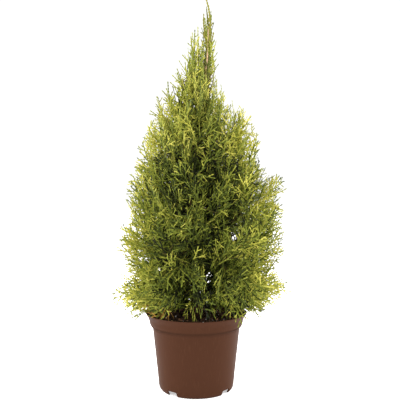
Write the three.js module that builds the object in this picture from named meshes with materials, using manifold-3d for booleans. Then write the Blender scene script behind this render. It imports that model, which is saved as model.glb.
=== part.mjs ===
// A young thuja in a round plastic nursery pot, about 0.72 m tall.
// Millimetres, +Z up. The origin is on the floor, on the pot's axis. +X is the plant's right, -Y its front.
// The pot stands on four feet and is filled with potting soil. One trunk rises from the soil to the leader.
// Boughs leave the trunk in tiers, and each carries one mass of foliage: a stem set with toothed blades, one
// for each flat spray of scale leaves.
import * as THREE from "three";
import { mergeVertices } from "three/addons/utils/BufferGeometryUtils.js";
import Module from "manifold-3d";

const wasm = await Module();
wasm.setup();

// ---------------------------------------------------------------- driving dimensions
const GAP = 0.3; // clearance between neighbouring pieces
const SAME = 1e-4; // points closer than this are one
const GOLDEN_ANGLE = 137.5; // degrees from one spray's tip to the next, round the crown
const UP = new THREE.Vector3(0, 0, 1);

const POT = {
  height: 141,
  wall: 1.6,
  facets: 32,
  footRadius: 66, // of the edge that stands on the floor
  wallFoot: [69.2, 4.5], // radius and height where the rounded corner meets the wall
  // The rim, from where it steps out of the wall to where it flares to the lip.
  rim: [
    [81.4, 114.6],
    [85.2, 117],
    [87, 122],
    [88.8, 131],
  ],
  rimStep: 0.8, // how much higher the rim's inner face steps out than its outer one
  lipRadius: 95,
  floor: 10, // underside of the pot's floor
  notch: { width: 21, height: 9, corner: 3, depth: 30, inset: 12, turns: [-38.5, 51.5, 141.5, 231.5] },
  drain: { width: 16, reach: 11, radius: 54, centre: 7, centreFacets: 12 },
};

const SOIL = { edge: 129, crown: 133, flat: 14, lump: 2.2, rings: 3 };

const TRUNK = {
  ground: SOIL.crown + GAP, // height of the flat cut
  top: 622,
  foot: 6.4, // radius just above the root flare
  flare: 3.4, // extra radius at the ground
  flareHeight: 14,
  tip: 1.5,
  lean: 21, // how far the top stands to the right of the foot
  sway: 5, // of the gentle bend, to the front
  sides: 8,
  steps: 12,
  crowding: 1.6, // how much closer together its rings stand in the flare
};

// The crown's outline: height, then its reach to the right, to the left, and to the front and back.
const CROWN = [
  [124, 96, 92, 92],
  [134, 134, 132, 112],
  [146, 144, 162, 122],
  [164, 154, 148, 134],
  [181, 168, 150, 140],
  [200, 167, 140, 142],
  [222, 146, 134, 144],
  [240, 152, 134, 145],
  [256, 168, 148, 144],
  [275, 154, 148, 143],
  [294, 166, 142, 142],
  [313, 162, 120, 138],
  [330, 170, 124, 134],
  [350, 142, 128, 131],
  [369, 158, 132, 128],
  [390, 154, 122, 125],
  [404, 146, 122, 122],
  [418, 112, 116, 118],
  [434, 108, 108, 112],
  [456, 122, 100, 106],
  [490, 112, 88, 96],
  [508, 104, 90, 92],
  [524, 90, 82, 84],
  [538, 60, 80, 74],
  [557, 46, 66, 60],
  [576, 43, 54, 50],
  [600, 40, 38, 38],
  [640, 36, 18, 24],
  [672, 30, 8, 14],
];

// Folds in the crown: azimuth in degrees from the right, counter-clockwise from above, the half width in
// degrees, the share of the crown's reach they take away, and the heights they begin and end at.
const FOLDS = [
  [263, 7, 0.4, 165, 290],
  [290, 9, 0.4, 240, 350],
  [285, 7, 0.35, 340, 420],
  [274, 8, 0.35, 410, 520],
  [212, 8, 0.25, 126, 440],
  [152, 9, 0.3, 126, 460],
  [104, 9, 0.3, 126, 480],
  [30, 8, 0.3, 126, 460],
];
const FOLD_FADE = 30; // over which a fold comes to its depth, half of it past its end

// Each tier: the height of its boughs' feet, how far its limbs arch above a straight line, and the radius
// of a bough's foot. Each bough: its azimuth, then how far out and how high its mass's stem ends.
const TIERS = [
  {
    name: "skirt", foot: 150, arch: 12, radius: 3,
    boughs: {
      right: [2, 112, 176],
      back_right: [60, 92, 172],
      back_left: [120, 92, 172],
      left: [180, 106, 170],
      front_left: [237, 90, 170],
      front_right: [310, 92, 170],
    },
  },
  {
    name: "low", foot: 182, arch: 4, radius: 3.2,
    boughs: {
      right: [4, 112, 262],
      back_right: [62, 94, 258],
      back_left: [124, 96, 262],
      left: [186, 94, 256],
      front_left: [240, 92, 252],
      front_right: [306, 92, 250],
    },
  },
  {
    name: "middle", foot: 246, arch: -6, radius: 2.8,
    boughs: {
      right: [350, 104, 352],
      back_right: [46, 84, 356],
      back_left: [120, 78, 350],
      left: [184, 84, 356],
      front: [262, 74, 350],
    },
  },
  {
    name: "upper", foot: 336, arch: -12, radius: 2.2,
    boughs: {
      right: [2, 76, 460],
      back: [96, 54, 456],
      left: [180, 54, 468],
      front: [272, 50, 452],
    },
  },
  {
    name: "top", foot: 448, arch: -8, radius: 1.6,
    boughs: {
      right: [330, 30, 552],
      back: [90, 22, 560],
      left: [205, 30, 560],
    },
  },
  {
    name: "crest", foot: 528, arch: 0, radius: 1.3,
    boughs: {
      left: [180, -1, 636],
      right: [8, 34, 606],
    },
  },
];

const LIMB = {
  sides: 5,
  stemSides: 4,
  steps: 2,
  points: 8, // stretches between the points that a bough's or a stem's curve is laid through
  stagger: 12, // every second bough of a tier leaves the trunk this much higher
  share: 0.34, // of the whole limb that is bare bough, the rest being the mass's stem
  neck: 0.62, // radius at the end of the bough, as a share of its foot
  tip: 0.9, // radius of the stem's end
};

const LEADER = {
  end: [23, 0, 676],
  radius: 2.4,
  // The tips of its shoots.
  tips: [
    [21, 0, 722],
    [28, 1, 703],
    [12, -7, 694],
    [20, 10, 690],
    [33, -2, 662],
  ],
  shoot: { width: 0.34, longest: 46 },
};

// Where the crown's furthest sprays end: azimuth and height.
const FURTHEST = [
  [180, 146],
  [186, 152],
  [172, 262],
  [187, 300],
  [2, 164],
  [4, 262],
  [1, 396],
  [183, 508],
  [3, 508],
  [268, 318],
  [240, 232],
];

// The sprays that are tried: how many, their first draw, the shares of the crown's reach that they end at,
// and how far their blades are turned up from level.
const OUTER = { count: 222, seed: 11, depths: [0.88, 1.02], upright: 90 };
const INNER = { count: 134, seed: 501, depths: [0.25, 0.75], upright: 0 };

const SPRAY = {
  thinnest: 0.2, // share of them kept even where the crown is narrow
  longest: 96,
  shortest: 26,
  longestTwig: 40,
  nodes: 24, // on each stem, where sprays may take root
  spacing: 3.5, // from one root to the next
  lean: 68, // degrees a spray may stand off its stem
  width: 0.66, // of its length
  thickness: 1.2,
  neck: 1.1, // half width at the root
  // The two teeth on each side: the point of each and the notch after it, as shares of length and half width.
  teeth: [
    [0.48, 1],
    [0.46, 0.36],
    [0.8, 0.68],
    [0.76, 0.22],
  ],
  rollSpread: 60, // degrees by which the blades' turns differ
  crossed: 4, // every so many sprays one stands square to the others
  stray: 16, // a corner of a spray may lie this much further from its own stem than from another
  clear: 1, // kept from every other piece
  easy: 38, // degrees that a spray best stands off its stem
  bend: 60, // millimetres of length that one radian away from that counts for
  tries: 40, // roots tried for a tip before it is skipped
  turns: [0, 30, -30], // degrees it may be turned about its length to fit
  apart: 0.4, // from one spray of a mass to the next
};

// ---------------------------------------------------------------- materials
const plastic = new THREE.MeshStandardMaterial({ color: 0x5e3d2f, roughness: 0.45 });
const peat = new THREE.MeshStandardMaterial({ color: 0x241a14, roughness: 1 });
const bark = new THREE.MeshStandardMaterial({ color: 0x6b4a35, roughness: 0.9 });
const leafGreens = [0x6f7f2c, 0x7d8b30, 0x5f7230, 0x8d9638].map(
  (color) => new THREE.MeshStandardMaterial({ color, roughness: 0.6 }),
);

// ---------------------------------------------------------------- small tools
const radians = (degrees) => (degrees * Math.PI) / 180;

const outwards = (azimuth) => new THREE.Vector3(Math.cos(azimuth), Math.sin(azimuth), 0);

// A number from 0 to 1 that always is the same for the same seed.
function chance(seed) {
  const s = Math.sin(seed * 12.9898) * 43758.5453;
  return s - Math.floor(s);
}

function solidOf(geometry) {
  const bare = geometry.index ? geometry.toNonIndexed() : geometry.clone();
  bare.deleteAttribute("normal");
  bare.deleteAttribute("uv");
  const merged = mergeVertices(bare, SAME);
  return new wasm.Manifold(
    new wasm.Mesh({
      numProp: 3,
      vertProperties: merged.attributes.position.array,
      triVerts: new Uint32Array(merged.index.array),
    }),
  );
}

function geometryOf(solid) {
  const { vertProperties, triVerts } = solid.getMesh();
  const geometry = new THREE.BufferGeometry();
  geometry.setAttribute("position", new THREE.BufferAttribute(vertProperties, 3));
  geometry.setIndex(new THREE.BufferAttribute(triVerts, 1));
  const faceted = geometry.toNonIndexed();
  faceted.computeVertexNormals();
  return faceted;
}

// A lathe about Z of a profile of [radius, height] points that starts and ends on the axis.
function turned(profile, facets) {
  const points = profile.map(([radius, height]) => new THREE.Vector2(radius, height));
  return new THREE.LatheGeometry(points, facets).rotateX(Math.PI / 2);
}

// A closed limb along a curve: rings of so many sides, with a radius for each share of the curve's length.
function limb(curve, radiusAt, sides, steps) {
  const frames = curve.computeFrenetFrames(steps, false);
  const positions = [];
  const ring = (step) => {
    const centre = curve.getPointAt(step / steps);
    const radius = radiusAt(step / steps);
    return Array.from({ length: sides }, (_, side) => {
      const angle = (2 * Math.PI * side) / sides;
      return centre
        .clone()
        .addScaledVector(frames.normals[step], radius * Math.cos(angle))
        .addScaledVector(frames.binormals[step], radius * Math.sin(angle));
    });
  };
  const triangle = (...corners) => corners.forEach((p) => positions.push(p.x, p.y, p.z));
  const rings = Array.from({ length: steps + 1 }, (_, step) => ring(step));
  for (let step = 0; step < steps; step += 1) {
    for (let side = 0; side < sides; side += 1) {
      const next = (side + 1) % sides;
      triangle(rings[step][side], rings[step][next], rings[step + 1][next]);
      triangle(rings[step][side], rings[step + 1][next], rings[step + 1][side]);
    }
  }
  for (let side = 1; side < sides - 1; side += 1) {
    triangle(rings[0][0], rings[0][side + 1], rings[0][side]);
    triangle(rings[steps][0], rings[steps][side], rings[steps][side + 1]);
  }
  const geometry = new THREE.BufferGeometry();
  geometry.setAttribute("position", new THREE.Float32BufferAttribute(positions, 3));
  geometry.computeVertexNormals();
  return geometry;
}

const taper = (from, to) => (share) => from + (to - from) * share;

function mesh(name, geometry, material) {
  const made = new THREE.Mesh(geometry, material);
  made.name = name;
  return made;
}

// ---------------------------------------------------------------- pot and soil
// The wall's outer face, from the floor it stands on up to the lip.
function potOutside() {
  return [[POT.footRadius, 0], POT.wallFoot, ...POT.rim, [POT.lipRadius, POT.height]];
}

// The wall's inner face, from the lip down to the top of the floor.
function potInside() {
  const floorTop = POT.floor + POT.wall;
  const rimInside = POT.rim.map(([radius, height]) => [radius - POT.wall, height + POT.rimStep]);
  const [wallTop] = POT.rim;
  const slope = (wallTop[0] - POT.wallFoot[0]) / (wallTop[1] - POT.wallFoot[1]);
  const floorRadius = POT.wallFoot[0] + slope * (floorTop - POT.wallFoot[1]) - POT.wall;
  return [[POT.lipRadius - POT.wall, POT.height], ...rimInside.reverse(), [floorRadius, floorTop]];
}

function rounded(width, height, corner) {
  const shape = new THREE.Shape();
  const side = width / 2;
  shape.moveTo(-side, 0);
  shape.lineTo(side, 0);
  shape.lineTo(side, height - corner);
  shape.absarc(side - corner, height - corner, corner, 0, Math.PI / 2);
  shape.absarc(corner - side, height - corner, corner, Math.PI / 2, Math.PI);
  return shape;
}

// One of the four openings in the pot's foot, cut outwards through the wall.
function notchCutter(turn) {
  const { width, height, corner, depth, inset } = POT.notch;
  const below = 1; // it starts this far under the floor
  const cutter = new THREE.ExtrudeGeometry(rounded(width, height + below, corner), {
    depth,
    bevelEnabled: false,
    curveSegments: corner,
  });
  return cutter
    .rotateX(Math.PI / 2)
    .rotateZ(Math.PI / 2)
    .translate(POT.footRadius - inset, 0, -below)
    .rotateZ(radians(turn));
}

// One of the drain slots in the pot's floor.
function drainCutter(turn) {
  const { width, reach, radius } = POT.drain;
  return new THREE.BoxGeometry(reach, width, 4 * POT.wall)
    .translate(radius, 0, POT.floor)
    .rotateZ(radians(turn));
}

function pot() {
  const footInner = [POT.footRadius - 2 * POT.wall, 0];
  const skirtInner = [POT.wallFoot[0] - POT.wall, POT.floor];
  const profile = [
    [0, POT.floor],
    skirtInner,
    footInner,
    ...potOutside(),
    ...potInside(),
    [0, POT.floor + POT.wall],
  ];
  const { centre, centreFacets } = POT.drain;
  const centreHole = new THREE.CylinderGeometry(centre, centre, 4 * POT.wall, centreFacets)
    .rotateX(Math.PI / 2)
    .translate(0, 0, POT.floor);
  const cutters = [
    ...POT.notch.turns.map(notchCutter),
    ...POT.notch.turns.map(drainCutter),
    centreHole,
  ];
  const body = cutters.reduce(
    (left, cutter) => left.subtract(solidOf(cutter)),
    solidOf(turned(profile, POT.facets)),
  );
  return mesh("pot", geometryOf(body), plastic);
}

// The top of the soil: a low mound, flat under the trunk and lumpy towards the wall.
function soilTop(radius, angle) {
  const edge = soilEdge();
  const share = Math.min(1, Math.max(0, (radius - SOIL.flat) / (edge - SOIL.flat)));
  const lumps = Math.sin(3 * angle + 0.09 * radius) * Math.cos(2 * angle - 0.06 * radius);
  return SOIL.crown + (SOIL.edge - SOIL.crown) * share + SOIL.lump * lumps * 4 * share * (1 - share);
}

// The soil's radius at its top edge, just inside the pot's wall.
function soilEdge() {
  const wall = potInside().reverse();
  const upper = wall.findIndex(([, height]) => height > SOIL.edge);
  const [low, high] = [wall[upper - 1], wall[upper]];
  return low[0] + ((SOIL.edge - low[1]) * (high[0] - low[0])) / (high[1] - low[1]) - GAP;
}

function soil() {
  const wallSide = potInside()
    .filter(([, height]) => height < SOIL.edge)
    .map(([radius, height]) => [radius - GAP, height + GAP])
    .reverse();
  const edge = soilEdge();
  const top = Array.from({ length: SOIL.rings + 1 }, (_, ring) => [
    edge + ((SOIL.flat - edge) * ring) / SOIL.rings,
    SOIL.edge,
  ]);
  const profile = [[0, wallSide[0][1]], ...wallSide, ...top, [0, SOIL.crown]];
  const geometry = turned(profile, POT.facets / 2);
  const position = geometry.attributes.position;
  for (let i = 0; i < position.count; i += 1) {
    if (position.getZ(i) > SOIL.edge - SAME) {
      const [x, y] = [position.getX(i), position.getY(i)];
      position.setZ(i, soilTop(Math.hypot(x, y), Math.atan2(y, x)));
    }
  }
  return mesh("soil", geometryOf(solidOf(geometry)), peat);
}

// ---------------------------------------------------------------- trunk and boughs
// The trunk's centre at a height.
function trunkAt(height) {
  const share = (height - TRUNK.ground) / (TRUNK.top - TRUNK.ground);
  return new THREE.Vector3(
    TRUNK.lean * share * share,
    -TRUNK.sway * Math.sin(Math.PI * share),
    height,
  );
}

function trunkRadius(height) {
  const share = (height - TRUNK.ground) / (TRUNK.top - TRUNK.ground);
  const flare = TRUNK.flare * Math.exp(-(height - TRUNK.ground) / TRUNK.flareHeight);
  return TRUNK.foot + (TRUNK.tip - TRUNK.foot) * share + flare;
}

// The trunk, or with a margin the sleeve of air round it that keeps the boughs off the bark.
function trunkGeometry(margin = 0) {
  const { ground, top, sides, steps, crowding } = TRUNK;
  // The rings stand closer together in the flare.
  const heights = Array.from(
    { length: steps + 1 },
    (_, step) => ground + (top - ground) * (step / steps) ** crowding,
  );
  const rings = heights.map((height) => {
    const radius = trunkRadius(height) + margin;
    const centre = trunkAt(height);
    return Array.from({ length: sides }, (_, side) => {
      const angle = (2 * Math.PI * side) / sides;
      return [centre.x + radius * Math.cos(angle), centre.y + radius * Math.sin(angle), height];
    });
  });
  const positions = [];
  for (let step = 0; step < steps; step += 1) {
    for (let side = 0; side < sides; side += 1) {
      const next = (side + 1) % sides;
      positions.push(...rings[step][side], ...rings[step][next], ...rings[step + 1][next]);
      positions.push(...rings[step][side], ...rings[step + 1][next], ...rings[step + 1][side]);
    }
  }
  for (let side = 1; side < sides - 1; side += 1) {
    positions.push(...rings[0][0], ...rings[0][side + 1], ...rings[0][side]);
    positions.push(...rings[steps][0], ...rings[steps][side], ...rings[steps][side + 1]);
  }
  const geometry = new THREE.BufferGeometry();
  geometry.setAttribute("position", new THREE.Float32BufferAttribute(positions, 3));
  geometry.computeVertexNormals();
  return geometry;
}

// A bough from the trunk's axis, with all that lies in or near the trunk cut away.
function boughSolid({ bough, radius }, sleeve) {
  const whole = limb(bough, taper(radius, radius * LIMB.neck), LIMB.sides, LIMB.steps);
  return solidOf(whole).subtract(sleeve);
}

// A limb's whole line, from the trunk's axis to the end of its mass's stem.
function limbLine({ arch }, foot, azimuth, reach, height) {
  const start = trunkAt(foot);
  const end = outwards(radians(azimuth)).multiplyScalar(reach).setZ(height);
  const middle = start.clone().lerp(end, 0.5).addScaledVector(UP, 2 * arch);
  return new THREE.QuadraticBezierCurve3(start, middle, end);
}

// The part of a line between two shares of its length.
function stretch(line, from, to) {
  const points = Array.from({ length: LIMB.points + 1 }, (_, i) =>
    line.getPointAt(from + ((to - from) * i) / LIMB.points),
  );
  return new THREE.CatmullRomCurve3(points);
}

// Every limb of the crown, the leader last.
function crownLimbs() {
  const limbs = TIERS.flatMap((tier) =>
    Object.entries(tier.boughs).map(([side, [azimuth, reach, height]], k) => {
      const line = limbLine(tier, tier.foot + LIMB.stagger * (k % 2), azimuth, reach, height);
      return {
        name: `${tier.name}_foliage_${side}`,
        boughName: `${tier.name}_bough_${side}`,
        bough: stretch(line, 0, LIMB.share),
        stem: stretch(line, LIMB.share + GAP / line.getLength(), 1),
        radius: tier.radius,
      };
    }),
  );
  const stem = new THREE.LineCurve3(trunkAt(TRUNK.top + GAP), new THREE.Vector3(...LEADER.end));
  return [...limbs, { name: "leader_foliage", stem, radius: LEADER.radius }];
}

// ---------------------------------------------------------------- foliage
// How far into a fold a place is, from 0 beside it to 1 at its bottom.
function folded(height, azimuth, [middle, half, , bottom, top]) {
  const off = Math.atan2(Math.sin(azimuth - radians(middle)), Math.cos(azimuth - radians(middle)));
  const within = Math.min(height - bottom, top - height) / FOLD_FADE + 0.5;
  return Math.min(1, Math.max(0, within)) * Math.exp(-((off / radians(half)) ** 2));
}

// The crown's reach at a height, towards an azimuth in radians.
function crownReach(height, azimuth) {
  const upper = CROWN.findIndex(([level]) => level >= height);
  if (upper < 1) return 0;
  const [low, high] = [CROWN[upper - 1], CROWN[upper]];
  const share = (height - low[0]) / (high[0] - low[0]);
  const [right, left, depth] = [1, 2, 3].map((i) => low[i] + (high[i] - low[i]) * share);
  const side = Math.cos(azimuth) > 0 ? right : left;
  const round = 1 / Math.hypot(Math.cos(azimuth) / side, Math.sin(azimuth) / depth);
  return FOLDS.reduce((reach, fold) => reach * (1 - fold[2] * folded(height, azimuth, fold)), round);
}

function furthestTips() {
  return FURTHEST.map(([degrees, height]) => {
    const azimuth = radians(degrees);
    return outwards(azimuth).multiplyScalar(crownReach(height, azimuth)).setZ(height);
  });
}

// Where the tips of the sprays would be: a spiral up the crown, denser where the crown is wider.
function crownTips({ count, seed, depths: [nearest, furthest] }) {
  const [bottom, top] = [CROWN[0][0], CROWN.at(-1)[0]];
  const widest = Math.max(...CROWN.map((row) => row[1]));
  const tips = [];
  for (let i = 0; i < count; i += 1) {
    const height = bottom + ((top - bottom) * (i + chance(seed + i))) / count;
    const azimuth = radians(GOLDEN_ANGLE * i);
    const reach = crownReach(height, azimuth);
    if (reach < (chance(seed + 3 * i + 1) - SPRAY.thinnest) * widest) continue;
    const depth = nearest + (furthest - nearest) * chance(seed + 7 * i + 2);
    tips.push(outwards(azimuth).multiplyScalar(reach * depth).setZ(height));
  }
  return tips;
}

// The flat outline of a bare twig and the spray at its end, its root at the origin and its tip on +X.
function sprayOutline(bare, length, width) {
  const { neck, teeth } = SPRAY;
  const half = (width * length) / 2;
  const side = teeth.map(([along, across]) => [bare + along * length, across * half]);
  const foot = bare ? [[0, neck], [bare, neck]] : [[0, neck]];
  const upper = [...foot, ...side];
  const lower = upper.map(([x, y]) => [x, -y]);
  const outline = [...lower, [bare + length, 0], ...upper.reverse()];
  return new THREE.Shape(outline.map(([x, y]) => new THREE.Vector2(x, y)));
}

// The frame of a spray: +X along it, +Y across it, +Z its normal.
function sprayFrame(root, direction, roll) {
  const across = new THREE.Vector3().crossVectors(UP, direction).normalize();
  const normal = new THREE.Vector3().crossVectors(direction, across);
  const turn = new THREE.Quaternion().setFromAxisAngle(direction, roll);
  across.applyQuaternion(turn);
  normal.applyQuaternion(turn);
  return new THREE.Matrix4().makeBasis(direction, across, normal).setPosition(root);
}

function spraySolid(bare, length, width, frame) {
  const blade = new THREE.ExtrudeGeometry(sprayOutline(bare, length, width), {
    depth: SPRAY.thickness,
    bevelEnabled: false,
  });
  return solidOf(blade.translate(0, 0, -SPRAY.thickness / 2)).transform(frame.elements);
}

// The middle, the tip and the points of the teeth of a spray, to test where it lies.
function sprayCorners(bare, length, width, frame) {
  const points = SPRAY.teeth.filter((_, i) => i % 2 === 0);
  const mirrored = points.map(([along, across]) => [along, -across]);
  return [[0.5, 0], ...points, ...mirrored, [1, 0]].map(([along, across]) =>
    new THREE.Vector3(bare + along * length, (across * width * length) / 2, 0).applyMatrix4(frame),
  );
}

const samples = (curve, count) =>
  Array.from({ length: count + 1 }, (_, i) => ({
    at: curve.getPointAt(i / count),
    forward: curve.getTangentAt(i / count),
  }));

const distanceTo = (point, nodes) => Math.min(...nodes.map(({ at }) => at.distanceTo(point)));

function boxesMeet(a, b, margin) {
  return [0, 1, 2].every((i) => a.min[i] - margin < b.max[i] && b.min[i] - margin < a.max[i]);
}

// Whether a solid keeps its distance from all others.
function isClear(solid, others) {
  const box = solid.boundingBox();
  return others.every(
    (other) =>
      !boxesMeet(box, other.boundingBox(), SPRAY.clear) ||
      solid.minGap(other, 2 * SPRAY.clear) > SPRAY.clear,
  );
}

// The free places on all stems a tip could be grown from, the easiest first.
function rootsFor(tip, longest, masses) {
  const roots = [];
  for (const mass of masses) {
    for (const node of mass.nodes.filter(({ taken }) => !taken)) {
      const direction = tip.clone().sub(node.at);
      const reach = direction.length();
      const lean = direction.normalize().angleTo(node.forward);
      if (lean > radians(SPRAY.lean) || reach < SPRAY.shortest) continue;
      if (reach > longest + SPRAY.longestTwig) continue;
      const cost = Math.abs(reach - longest) + SPRAY.bend * Math.abs(lean - radians(SPRAY.easy));
      roots.push({ mass, node, direction, reach, cost });
    }
  }
  return roots.sort((a, b) => a.cost - b.cost).slice(0, SPRAY.tries);
}

// Whether a spray stays nearer to its own mass's stem than to any other.
function keepsInside(corners, mass, others) {
  return corners.every((corner) => {
    const own = distanceTo(corner, mass.nodes) - SPRAY.stray;
    return others.every((one) => own < distanceTo(corner, one.nodes));
  });
}

// A spray from a root to a tip, turned about its length until it fits, or nothing.
function fittingSpray({ mass, node, direction, reach }, { width, longest }, roll, masses, limbsPlaced) {
  const bare = Math.max(0, reach - longest);
  const others = masses.filter((one) => one !== mass);
  for (const turn of SPRAY.turns) {
    const frame = sprayFrame(node.at, direction, radians(roll + turn));
    if (!keepsInside(sprayCorners(bare, reach - bare, width, frame), mass, others)) continue;
    const spray = spraySolid(bare, reach - bare, width, frame);
    if (!isClear(spray, [...limbsPlaced, ...others.map((one) => one.solid)])) continue;
    if (mass.sprays.some((other) => spray.minGap(other, SPRAY.apart) < SPRAY.apart)) continue;
    // A mass in more than one shell would wall in some air.
    if (mass.solid.add(spray).decompose().length === 1) return spray;
  }
  return null;
}

// Grows one spray to a tip from the first root that lets it fit, or skips it.
function growTo(tip, shape, roll, masses, limbsPlaced) {
  for (const root of rootsFor(tip, shape.longest, masses)) {
    const spray = fittingSpray(root, shape, roll, masses, limbsPlaced);
    if (!spray) continue;
    root.mass.solid = root.mass.solid.add(spray);
    root.mass.sprays.push(spray);
    for (const node of root.mass.nodes) {
      node.taken ||= node.at.distanceTo(root.node.at) < SPRAY.spacing;
    }
    return;
  }
}

function foliage(limbs, limbsPlaced) {
  const masses = limbs.map((one) => ({
    ...one,
    nodes: samples(one.stem, SPRAY.nodes),
    sprays: [],
    solid: solidOf(limb(one.stem, taper(one.radius * LIMB.neck, LIMB.tip), LIMB.stemSides, LIMB.steps)),
  }));
  const shoots = LEADER.tips.map((tip) => new THREE.Vector3(...tip));
  const lists = [
    { tips: shoots, upright: OUTER.upright, from: masses.slice(-1), shape: LEADER.shoot },
    { tips: furthestTips(), upright: OUTER.upright, from: masses, shape: SPRAY },
    { tips: crownTips(OUTER), upright: OUTER.upright, from: masses, shape: SPRAY },
    { tips: crownTips(INNER), upright: INNER.upright, from: masses, shape: SPRAY },
  ];
  for (const { tips, upright, from, shape } of lists) {
    tips.forEach((tip, i) => {
      const facing = i % SPRAY.crossed === SPRAY.crossed - 1 ? 90 - upright : upright;
      const roll = facing + SPRAY.rollSpread * (chance(5 * i + 0.5) - 0.5);
      growTo(tip, shape, roll, from, limbsPlaced);
    });
  }
  return masses;
}

// ---------------------------------------------------------------- the plant in its pot
const plant = new THREE.Group();
plant.add(pot(), soil(), mesh("trunk", trunkGeometry(), bark));

const limbs = crownLimbs();
const sleeve = solidOf(trunkGeometry(GAP / Math.cos(Math.PI / TRUNK.sides)));
for (const one of limbs.filter(({ bough }) => bough)) {
  plant.add(mesh(one.boughName, geometryOf(boughSolid(one, sleeve)), bark));
}

const limbsPlaced = plant.children.map((one) => solidOf(one.geometry));
foliage(limbs, limbsPlaced).forEach(({ name, solid }, index) => {
  plant.add(mesh(name, geometryOf(solid), leafGreens[index % leafGreens.length]));
});

export default plant;
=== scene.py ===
import math

import bmesh
import bpy
import numpy as np
from mathutils import Euler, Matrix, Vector, noise


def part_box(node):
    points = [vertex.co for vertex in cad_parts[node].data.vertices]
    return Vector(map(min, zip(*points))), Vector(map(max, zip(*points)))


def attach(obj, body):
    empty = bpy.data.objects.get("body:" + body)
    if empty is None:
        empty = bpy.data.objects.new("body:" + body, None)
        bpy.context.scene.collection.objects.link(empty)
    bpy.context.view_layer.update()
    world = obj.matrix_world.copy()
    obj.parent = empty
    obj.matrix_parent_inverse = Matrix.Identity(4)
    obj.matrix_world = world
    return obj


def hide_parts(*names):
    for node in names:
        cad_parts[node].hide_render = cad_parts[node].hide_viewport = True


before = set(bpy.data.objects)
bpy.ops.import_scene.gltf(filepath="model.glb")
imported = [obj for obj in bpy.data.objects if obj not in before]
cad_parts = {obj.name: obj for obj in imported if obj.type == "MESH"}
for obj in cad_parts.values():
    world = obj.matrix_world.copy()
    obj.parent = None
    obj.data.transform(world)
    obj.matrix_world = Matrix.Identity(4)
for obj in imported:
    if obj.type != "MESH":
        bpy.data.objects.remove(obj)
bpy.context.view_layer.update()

# ---------------------------------------------------------------- pot
# A round nursery pot, moulded in one piece from brown polypropylene. Its wall tapers to a rounded foot, and
# a stepped rim stiffens its mouth. Four notches for water leave it four feet, on which it stands loose.
MM = 0.001  # sizes are in millimetres where nothing else is said, and become metres when a mesh is made

pot_low, pot_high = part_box("pot")
LIP_RADIUS = (pot_high.x - pot_low.x) / 2 / MM
POT_HEIGHT = pot_high.z / MM
POT_WALL = 1.6
POT_FACETS = 144
POT_SHARP = 32  # degrees from which an edge is shaded as sharp
FLOOR_UNDERSIDE = 10
RECESS_RADIUS = 68.4  # of the hollow under the floor
FLOOR_RADIUS = 68.6
# Radius, height and how round the corner is, from the edge that stands on the floor up to the lip.
POT_OUTSIDE = [
    (66, 0, 1.2),
    (69.2, 4.5, 4),
    (81.4, 114.6, 1.6),
    (85.2, 117, 1.6),
    (87, 122, 4),
    (88.8, 131, 6),
    (LIP_RADIUS, POT_HEIGHT, 0.7),
]
NOTCH_WIDTH = 21
NOTCH_HEIGHT = 9
NOTCH_CORNER = 3
NOTCH_CORNER_STEPS = 6
NOTCH_CUT = (52, 84)  # how far from the axis the cut for a notch begins and ends
NOTCH_BELOW = 2  # and how far it begins under the foot
NOTCH_TURNS = [-38.5, 51.5, 141.5, 231.5]
DRAIN_SIZE = (11, 16)
DRAIN_RADIUS = 54
CENTRE_HOLE = 7
CENTRE_FACETS = 24
CREASE_SHADE_BEGINS = (0.1125, 0.1155)  # heights in metres between which the painted shade in the crease under the rim sets in
CREASE_SHADE_ENDS = (0.117, 0.1185)


class Wire:
    """A number that varies over a surface. Arithmetic on it adds Math nodes to its finish."""

    def __init__(self, finish, socket):
        self.finish = finish
        self.socket = socket

    def __add__(self, other):
        return self.finish.node("ShaderNodeMath", {"operation": "ADD"}, {0: self, 1: other})

    def __mul__(self, other):
        return self.finish.node("ShaderNodeMath", {"operation": "MULTIPLY"}, {0: self, 1: other})

    def __rsub__(self, other):
        return self.finish.node("ShaderNodeMath", {"operation": "SUBTRACT"}, {0: other, 1: self})

    __radd__ = __add__
    __rmul__ = __mul__


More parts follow.
